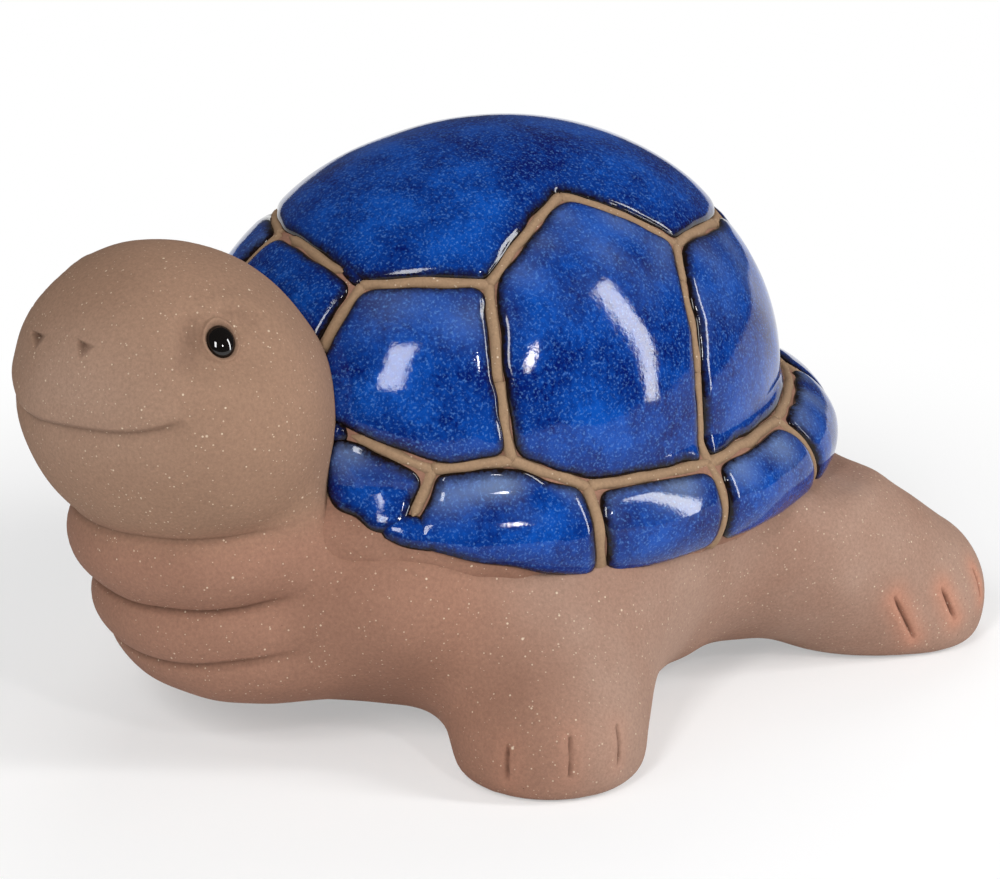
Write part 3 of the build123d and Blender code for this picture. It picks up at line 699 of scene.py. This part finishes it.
def clayField(points):
    # signed distance to the clay figure: rounded unions of its lumps, cut flat at the soles and belly
    z = points[..., 2]
    folded = onLeft(points)
    body = ellipsoidField(points, figure["bodyCentre"], figure["bodyHalf"])
    body = smoothCommon(body, figure["bellyHeight"] - z, figure["bellyRound"])
    body = smoothCommon(body, z - figure["bodyTop"], figure["bodyTopRound"])
    shoulder = ellipsoidField(folded, figure["shoulderCentre"], figure["shoulderHalf"])
    body = smoothUnion(body, shoulder, figure["shoulderBlend"])
    legs = np.minimum(legField(folded, "front"), legField(folded, "rear"))
    body = smoothUnion(body, legs, figure["legBlend"])
    chin, roll, chest = neckFields(points)
    neck = smoothUnion(smoothUnion(chin, roll, figure["rollBlend"]), chest, figure["rollBlend"])
    body = smoothUnion(body, neck, figure["neckBlend"])
    tailPlace = tilted(points - figure["tailCentre"], -figure["tailDroop"])
    tail = ellipsoidField(tailPlace, (0.0, 0.0, 0.0), figure["tailHalf"])
    body = smoothUnion(body, tail, figure["tailBlend"])
    nape = smoothStep(*figure["napeAcross"], folded[..., 0])
    nape *= smoothStep(*figure["napeAlong"], points[..., 1])
    whole = smoothUnion(body, headField(points), figure["headBlend"] + figure["napeBlend"] * nape)
    return smoothCommon(whole, -z, figure["soleRound"])


def fieldNormal(points, field=clayField):
    # outward direction of a field, from small steps along the axes
    slopes = [field(points + axis) - field(points - axis) for axis in np.eye(3) * figure["fieldStep"]]
    return unit(np.stack(slopes, -1))


# face and neck: places on the head as (angle from the nose towards its left, pitch) about its centre
face = {
    # each darkness value here is painted shade laid into its groove or nick, and their summed painted shade
    # is capped
    "mouth": [(-49.0, 7.0), (-38.0, 3.2), (-24.0, 0.1), (-15.9, -0.6), (7.2, 1.3), (24.8, 2.6), (39.3, 3.6),
              (50.7, 5.7), (61.4, 9.4)],
    "mouthDepth": 1.9, "mouthFade": 0.16, "mouthPaintedShade": 0.3,
    "lipAbove": 1.1, "lipBelow": 3.9, "lipSwell": 0.6, "lipPlace": 4.5, "lipWidth": 3.0,
    "nostrils": [[(-24.9, 29.4), (-8.8, 32.6), (-14.3, 24.6)], [(12.9, 35.1), (23.7, 33.9), (16.8, 27.7)]],
    "nostrilDepth": 3.4, "nostrilWall": (-0.2, 0.6), "nostrilReach": 14.0, "nostrilPaintedShade": 0.8,
    # cheek folds: places, depth and half width
    "cheekFolds": [([(67.0, 47.5), (65.2, 41.0), (61.8, 31.0), (60.0, 23.5)], 1.5, 3.2),
                   ([(80.0, 46.0), (90.0, 45.0), (99.0, 38.5)], 0.9, 2.2)],
    "cheekFade": 0.4, "cheekPaintedShade": 0.2,
    "eyeAcross": 4.0, "eyeUp": 4.9, "eyeBulge": 2.6, "eyeLift": 1.3, "eyeBack": 0.7, "eyeSink": 0.8,
    "eyeRows": 24, "eyeColumns": 48, "eyeReach": 34.0,
    "socketDepth": 3.0, "socketFront": (-13.5, -8.5), "socketBack": (1.0, 22.0), "socketTall": (3.0, 14.0),
    "socketDrop": 1.0, "browSwell": 1.1, "browUp": 10.5, "browBack": 5.0, "browBow": 0.035, "browWidth": 3.2,
    "browReach": 11.0, "rimSwell": 1.2, "rimPlace": 1.27, "rimWidth": 0.15, "seatDepth": 1.2,
    "seatEdge": (0.9, 1.08),
    "neckDepth": 1.7, "jawDepth": 1.0, "neckWidth": 1.0, "neckReach": 3.0, "neckPaintedShade": 0.3,
    "neckAcross": (34.0, 47.0), "neckAlong": (-6.0, 10.0), "deepestPaintedShade": 0.8,
}
# toe slits: (angle, height) at both ends, about the foot's middle
toes = {
    "front": [[(26.0, 17.2), (26.4, 7.6)], [(63.4, 20.2), (63.0, 9.2)], [(97.6, 20.5), (94.8, 10.0)]],
    "rear": [[(44.7, 23.9), (56.7, 8.4)], [(76.5, 22.8), (86.2, 12.4)], [(116.2, 24.1), (117.0, 15.7)]],
    # the slits' darkness is painted shade in the slit
    "depth": 2.2, "halfWidth": 0.52, "endShare": 0.35, "endFade": 0.3, "paintedShading": 0.7,
    "swell": 0.35, "swellPlace": 2.6, "swellWidth": 1.6,
    "blush": {"front": 0.15, "rear": 0.65}, "blushReach": 4.5, "startReach": 26.0, "passes": 20,
}


def headPoint(angle, pitch):
    # where a direction from the head's centre leaves its ellipsoid
    way = wayTo(angle, pitch)
    place = headPlace(figure["headCentre"] + way) / figure["headHalf"]
    return figure["headCentre"] + way / np.linalg.norm(place)


def footPoint(foot, angle, height):
    # where a level line from a foot's axis leaves the clay
    way = wayTo(angle, 0.0)
    point = np.array([foot[0], foot[1], height]) + way * toes["startReach"]
    for _ in range(toes["passes"]):
        point = point - way * clayField(point[None])[0]
    return point


def softened(line, passes=3):
    # a chain with its corners cut: every step keeps only its quarter points, a few times over
    for _ in range(passes):
        inner = np.stack([0.75 * line[:-1] + 0.25 * line[1:], 0.25 * line[:-1] + 0.75 * line[1:]], 1)
        line = np.vstack([line[:1], inner.reshape(-1, line.shape[1]), line[-1:]])
    return line


def nearLine(points, line):
    # distance to a chain of steps, the share of the chain gone by there, and the offset from it
    gap = np.full(len(points), np.inf)
    along = np.zeros(len(points))
    offset = np.zeros_like(points)
    for index, (start, end) in enumerate(zip(line[:-1], line[1:])):
        step = end - start
        share = np.clip((points - start) @ step / (step @ step), 0, 1)
        away = points - start - share[:, None] * step
        distance = np.linalg.norm(away, axis=1)
        nearer = distance < gap
        gap = np.where(nearer, distance, gap)
        along = np.where(nearer, (index + share) / (len(line) - 1), along)
        offset = np.where(nearer[:, None], away, offset)
    return gap, along, offset


def endFade(along, share):
    # 1 along a line, falling to 0 over a share of it at both ends
    return smoothStep(0, share, along) * smoothStep(0, share, 1 - along)


def eyeFrame(node):
    # an eye's centre and its rearward, upward and outward directions on the head
    centre = np.mean(boxOf(node), axis=0)
    outward = fieldNormal(centre, headField)
    centre = centre - outward * headField(centre)
    rearward = unit(np.cross(np.array([0.0, 0.0, 1.0]), outward))
    rearward *= np.sign(rearward[1])
    up = np.cross(outward, rearward)
    up *= np.sign(up[2])
    return centre + up * face["eyeLift"] + rearward * face["eyeBack"], rearward, up, outward


mouthLine = softened(np.array([headPoint(*place) for place in face["mouth"]]))
cheekLines = [(softened(np.array([headPoint(*place) for place in places])), depth, width)
              for places, depth, width in face["cheekFolds"]]
nostrilCorners = [np.array([headPoint(*place) for place in nick]) for nick in face["nostrils"]]
slitLines = {end: [np.array([footPoint(figure[end + "Foot"], *place) for place in slit])
                   for slit in toes[end]] for end in ("front", "rear")}
eyeFrames = {node: eyeFrame(node) for node in ("left_eye", "right_eye")}


def mouthPress(points):
    # depth and painted shade of the mouth: a groove, steep above and slow below, with a swollen lip over it;
    # the painted shade lies in the groove under the lip
    gap, along, offset = nearLine(points, mouthLine)
    above = offset[:, 2] > 0
    fade = endFade(along, face["mouthFade"])
    groove = bell(gap, np.where(above, face["lipAbove"], face["lipBelow"]))
    lip = np.where(above, bell(gap - face["lipPlace"], face["lipWidth"]), 0)
    depth = fade * (face["mouthDepth"] * groove - face["lipSwell"] * lip)
    return depth, face["mouthPaintedShade"] * fade * bell(gap, face["lipAbove"])


def nostrilPress(points):
    # three-cornered nicks: the depth grows evenly from the edge between the last two corners to the first
    # corner, with steep walls along the other two edges, and painted shade in the nick grows with the depth
    pits = np.zeros(len(points))
    for corner in nostrilCorners:
        flatNormal = unit(np.cross(corner[1] - corner[0], corner[2] - corner[0]))
        gaps, heights = [], []
        for a, b, c in ((0, 1, 2), (2, 0, 1), (1, 2, 0)):
            inward = unit(np.cross(flatNormal, corner[b] - corner[a]))
            inward *= np.sign(inward @ (corner[c] - corner[a]))
            gaps.append((points - corner[a]) @ inward)
            heights.append((corner[c] - corner[a]) @ inward)
        near = np.linalg.norm(points - corner.mean(0), axis=1) < face["nostrilReach"]
        wall = smoothStep(*face["nostrilWall"], np.minimum(gaps[0], gaps[1]))
        pits += near * wall * np.clip(gaps[2] / heights[2], 0, 1)
    return face["nostrilDepth"] * pits, face["nostrilPaintedShade"] * pits


def cheekPress(points):
    # soft grooves along the folds in front of the eye and behind it, with painted shade in them in step with
    # their depth
    depth = np.zeros(len(points))
    for line, size, width in cheekLines:
        gap, along, offset = nearLine(points, line)
        depth += size * endFade(along, face["cheekFade"]) * bell(gap, width)
    return depth, face["cheekPaintedShade"] * depth


def eyePress(points):
    # about each eye a soft-edged hollow, a bowed brow over it, a ring round the bead and a seat under it
    depth = np.zeros(len(points))
    for centre, rearward, up, outward in eyeFrames.values():
        away = points - centre
        a, b = away @ rearward, away @ up
        near = np.linalg.norm(away, axis=1) < face["eyeReach"]
        socket = smoothStep(*face["socketFront"], a) * (1 - smoothStep(*face["socketBack"], a))
        socket *= 1 - smoothStep(*face["socketTall"], np.abs(b + face["socketDrop"]))
        back = a - face["browBack"]
        brow = bell(b - face["browUp"] + face["browBow"] * back ** 2, face["browWidth"])
        brow *= bell(back, face["browReach"])
        ring = np.hypot(a / face["eyeAcross"], b / face["eyeUp"])
        rim = bell(ring - face["rimPlace"], face["rimWidth"])
        seat = 1 - smoothStep(*face["seatEdge"], ring)
        depth += near * (face["socketDepth"] * socket + face["seatDepth"] * seat
                         - face["browSwell"] * brow - face["rimSwell"] * rim)
    return depth, np.zeros(len(points))


def neckPress(points):
    # a groove where one roll of the neck is as near as the next, at the front and between the shoulders,
    # with painted shade in the groove
    chin, roll, chest = neckFields(points)
    across = 1 - smoothStep(*face["neckAcross"], np.abs(points[:, 0]))
    ahead = 1 - smoothStep(*face["neckAlong"], points[:, 1] - figure["rollCentre"][1])
    depth, paintedShading = np.zeros(len(points)), np.zeros(len(points))
    for one, other, size in ((chin, roll, "neckDepth"), (roll, chest, "neckDepth"),
                             (headField(points), chin, "jawDepth")):
        groove = bell(one - other, face["neckWidth"]) * bell(np.minimum(one, other), face["neckReach"])
        depth += face[size] * across * ahead * groove
        paintedShading += face["neckPaintedShade"] * across * ahead * groove
    return depth, paintedShading


def toePress(points):
    # depth, painted shade and blush of the toe slits on all four feet: narrow grooves between swollen lips,
    # with the painted shade lying in the slits
    folded = onLeft(points)
    depth, paintedShading, blush = np.zeros((3, len(points)))
    for end, lines in slitLines.items():
        for line in lines:
            gap, along, offset = nearLine(folded, line)
            fade = toes["endShare"] + (1 - toes["endShare"]) * endFade(along, toes["endFade"])
            slit = fade * bell(gap, toes["halfWidth"])
            lips = fade * bell(gap - toes["swellPlace"], toes["swellWidth"])
            depth += toes["depth"] * slit - toes["swell"] * lips
            paintedShading += toes["paintedShading"] * slit
            blush = np.maximum(blush, toes["blush"][end] * bell(gap, toes["blushReach"]))
    return depth, paintedShading, blush


def detailDepth(points):
    # how far the clay is pressed in at each point, the toes' blush and the painted shade in the grooves:
    # sums of all details
    depth, paintedShading, blush = toePress(points)
    for press in (mouthPress, nostrilPress, cheekPress, eyePress, neckPress):
        moreDepth, morePaintedShading = press(points)
        depth += moreDepth
        paintedShading += morePaintedShading
    return depth, blush, np.clip(paintedShading, 0, face["deepestPaintedShade"])


# fine cutting: how far round each detail the faces are cut smaller
fineCut = {"cuts": 4, "reach": 2.5, "mouth": 3.0, "nostril": 5.0, "eye": 5.0, "slit": 0.5, "neck": 1.0,
           "neckBehind": 12.0}


def detailNear(points):
    # true where a face is within reach of a fine detail: the least of the distances to all of them
    spots = [(corner.mean(0), fineCut["nostril"]) for corner in nostrilCorners]
    spots += [(eye[0], fineCut["eye"]) for eye in eyeFrames.values()]
    gaps = [nearLine(points, mouthLine)[0] - fineCut["mouth"]]
    gaps += [np.linalg.norm(points - spot, axis=1) - radius for spot, radius in spots]
    folded = onLeft(points)
    gaps += [nearLine(folded, line)[0] - fineCut["slit"] for line in slitLines["front"] + slitLines["rear"]]
    chin, roll, chest = neckFields(points)
    ahead = points[:, 1] < figure["rollCentre"][1] + fineCut["neckBehind"]
    for one, other in ((chin, roll), (roll, chest), (headField(points), chin)):
        fold = np.maximum(np.abs(one - other), np.abs(np.minimum(one, other)) - fineCut["neck"])
        gaps.append(np.where(ahead, fold, np.inf))
    return np.min(gaps, axis=0) < fineCut["reach"]


# the field's zero surface as quads, turned to face outwards
low = np.array(cadBounds[0]) / mm - figure["margin"]
high = np.array(cadBounds[1]) / mm + figure["margin"]
axes = [np.arange(a, b, figure["voxel"]) for a, b in zip(low, high)]
block = np.stack(np.meshgrid(*axes, indexing="ij"), -1)
volume = openvdb.FloatGrid(figure["margin"])
volume.copyFromArray(clayField(block).astype(np.float32))
points, quads = volume.convertToQuads(0.0)
points = points.astype(float) * figure["voxel"] + low
corner = points[quads]
spin = np.cross(corner[:, 2] - corner[:, 0], corner[:, 3] - corner[:, 1])
if (spin * (corner.mean(1) - points.mean(0))).sum() < 0:
    quads = quads[:, ::-1]

# faces near a detail are cut into smaller ones
draft = bpy.data.meshes.new("draft")
draft.from_pydata(points.tolist(), [], quads.tolist())
fine = bmesh.new()
fine.from_mesh(draft)
fine.faces.ensure_lookup_table()
chosen = np.flatnonzero(detailNear(points[quads].mean(1)))
edges = list({edge for index in chosen for edge in fine.faces[index].edges})
bmesh.ops.subdivide_edges(fine, edges=edges, cuts=fineCut["cuts"], use_grid_fill=True)
bmesh.ops.triangulate(fine, faces=[each for each in fine.faces if len(each.verts) > 4])
fine.to_mesh(draft)
fine.free()
points = np.empty(len(draft.vertices) * 3)
draft.vertices.foreach_get("co", points)
points = points.reshape(-1, 3)
loops = np.empty(len(draft.loops), int)
draft.loops.foreach_get("vertex_index", loops)
starts = np.empty(len(draft.polygons), int)
draft.polygons.foreach_get("loop_start", starts)
bpy.data.meshes.remove(draft)
sides = np.diff(starts, append=len(loops))
faces = [loops[starts[sides == n][:, None] + np.arange(n)] for n in (3, 4)]

# points are drawn onto the surface, and then pressed in or swollen along its normals
for _ in range(figure["fitPasses"]):
    points -= fieldNormal(points) * clayField(points)[:, None]
normals = fieldNormal(points)
depth, blush, crease = detailDepth(points)
depth += figure["handSwell"] * (1 + ripple(points, figure["handSize"], figure["handSeed"])) / 2
points -= normals * (depth * smoothStep(*figure["soleFade"], points[:, 2]))[:, None]
# a pale patch on the front of the face is painted light; the pale colour on the rear is ash
faceLightGap = np.linalg.norm((points - headPoint(*figure["faceLightPlace"])) / figure["faceLightHalf"], axis=1)
ashAndPaintedLight = figure["faceLightPatch"] * bell(faceLightGap, 1)
ashAndPaintedLight += figure["rearAsh"] * smoothStep(*figure["rearAshAlong"], points[:, 1])
headLead = neckFields(points)[0] - headField(points)
headShare = smoothStep(-figure["headEdge"], figure["headEdge"], headLead)
clayNodes = ["body", "neck", "head", "front_left_leg", "front_right_leg", "rear_left_leg", "rear_right_leg",
             "tail"]
makePiece("clayFigure", points, faces, clayNodes, clay,
          {"headShare": headShare, "blush": blush, "crease": crease, "ashAndPaintedLight": ashAndPaintedLight})
print("clay figure made", len(points), len(starts))

# eyes: flattened beads set in the head, as ellipsoids along the eye's own directions
for node, (centre, rearward, up, outward) in eyeFrames.items():
    rows, columns = face["eyeRows"], face["eyeColumns"]
    pitch = np.linspace(-np.pi / 2, np.pi / 2, rows + 2)[1:-1, None, None]
    turn = np.linspace(0, 2 * np.pi, columns, endpoint=False)[None, :, None]
    across = np.cross(up, outward) * face["eyeAcross"]
    pole = outward * face["eyeBulge"]
    middle = centre - outward * (face["socketDepth"] + face["eyeSink"])
    ring = np.cos(turn) * across + np.sin(turn) * up * face["eyeUp"]
    bead = middle + np.cos(pitch) * ring + np.sin(pitch) * pole
    points = np.vstack([bead.reshape(-1, 3), middle + pole, middle - pole])
    makePiece(node + "Bead", points, closedFaces(rows, columns), [node], eyeGlaze)
print("eyes made")

# studio: pale floor, soft lamps and the camera, in metres
studio = {
    "target": Vector((0.0, (middleY + 1.0) * mm, 0.080)),
    "azimuth": 52.0, "elevation": 18.0, "distance": 1.0, "lens": 118.8, "sensor": 36.0, "shiftY": -0.0395,
    "roomLight": 0.08,
    "floorSize": 60.0, "floorColour": "#FCFCFC", "floorRoughness": 0.9, "backdropColour": "#FFFFFF",
    "whiteShare": {"From Min": 0.14, "From Max": 0.36, "To Min": 0.4},  # by distance from the middle
}
# lamps: azimuth, elevation, distance, width, height, glow, and whether the glaze mirrors it
lamps = {
    "stripSoftbox": (127.0, 23.0, 1.4, 0.18, 1.15, 21.0, True),
    "leftSoftbox": (34.0, 34.0, 1.4, 0.25, 0.52, 20.0, True),
    "spotLamp": (79.0, 33.0, 1.4, 0.08, 0.12, 80.0, True),
    "fillSoftbox": (12.0, 30.0, 1.6, 1.1, 1.1, 1.45, False),
    "topSoftbox": (60.0, 75.0, 1.6, 1.0, 1.0, 0.6, False),
    "backSoftbox": (225.0, 45.0, 1.6, 1.0, 1.0, 2.2, False),
}


# matt white floor: painted under the figure, where its shadow falls, and plain white farther out
def whiteFloor():
    # paint mixed towards white light by distance, for rays from the camera, a mirror or glass
    material = bpy.data.materials.new("matt white floor")
    material.use_nodes = True
    tree = material.node_tree
    paint = tree.nodes["Principled BSDF"]
    paint.inputs["Base Color"].default_value = linearColour(studio["floorColour"])
    paint.inputs["Roughness"].default_value = studio["floorRoughness"]
    place = addNode(tree, "ShaderNodeTexCoord").outputs["Object"]
    reach = addNode(tree, "ShaderNodeVectorMath", {}, {0: place}, operation="LENGTH")
    out = addNode(tree, "ShaderNodeMapRange", studio["whiteShare"], {"Value": reach.outputs["Value"]},
                  interpolation_type="SMOOTHSTEP")
    path = addNode(tree, "ShaderNodeLightPath")
    seen = path.outputs["Is Camera Ray"]
    for ray in ("Is Glossy Ray", "Is Transmission Ray"):
        seen = addNode(tree, "ShaderNodeMath", {}, {0: seen, 1: path.outputs[ray]},
                       operation="MAXIMUM").outputs["Value"]
    share = addNode(tree, "ShaderNodeMath", {}, {0: seen, 1: out.outputs["Result"]}, operation="MULTIPLY")
    white = addNode(tree, "ShaderNodeEmission", {"Color": linearColour(studio["backdropColour"]),
                    "Strength": 1.0})
    both = addNode(tree, "ShaderNodeMixShader", {}, {0: share.outputs["Value"], 1: paint.outputs["BSDF"],
                   2: white.outputs["Emission"]})
    tree.links.new(both.outputs["Shader"], tree.nodes["Material Output"].inputs["Surface"])
    return material


def lookFrom(holder, azimuth, elevation, distance):
    # places a lamp or camera at a distance from the target, along a direction, turned towards it
    way = Vector(wayTo(azimuth, elevation))
    holder.location = studio["target"] + way * distance
    holder.rotation_euler = way.to_track_quat("Z", "Y").to_euler()


def softBox(name, azimuth, elevation, distance, width, height, glow, mirrored):
    # a rectangular lamp that faces the figure; its power is pi times its glow and its area
    lamp = bpy.data.lights.new(name, "AREA")
    lamp.shape = "RECTANGLE"
    lamp.size = width
    lamp.size_y = height
    lamp.energy = np.pi * glow * width * height
    holder = addObject(name, lamp)
    holder.visible_glossy = mirrored
    lookFrom(holder, azimuth, elevation, distance)


floorMesh = bpy.data.meshes.new("floor")
half = studio["floorSize"]
floorMesh.from_pydata([(-half, -half, 0), (half, -half, 0), (half, half, 0), (-half, half, 0)], [],
                      [(0, 1, 2, 3)])
floorMesh.materials.append(whiteFloor())
floor = addObject("floor", floorMesh)

world = bpy.data.worlds.new("studio")
bpy.context.scene.world = world
world.use_nodes = True
world.node_tree.nodes["Background"].inputs["Color"].default_value = linearColour(studio["backdropColour"])
world.node_tree.nodes["Background"].inputs["Strength"].default_value = studio["roomLight"]
for name, settings in lamps.items():
    softBox(name, *settings)

lens = bpy.data.cameras.new("camera")
lens.lens = studio["lens"]
lens.sensor_width = studio["sensor"]
lens.sensor_fit = "HORIZONTAL"
lens.shift_y = studio["shiftY"]
camera = addObject("camera", lens)
lookFrom(camera, studio["azimuth"], studio["elevation"], studio["distance"])
bpy.context.scene.camera = camera
bpy.context.scene.view_settings.view_transform = "Standard"
print("studio made")
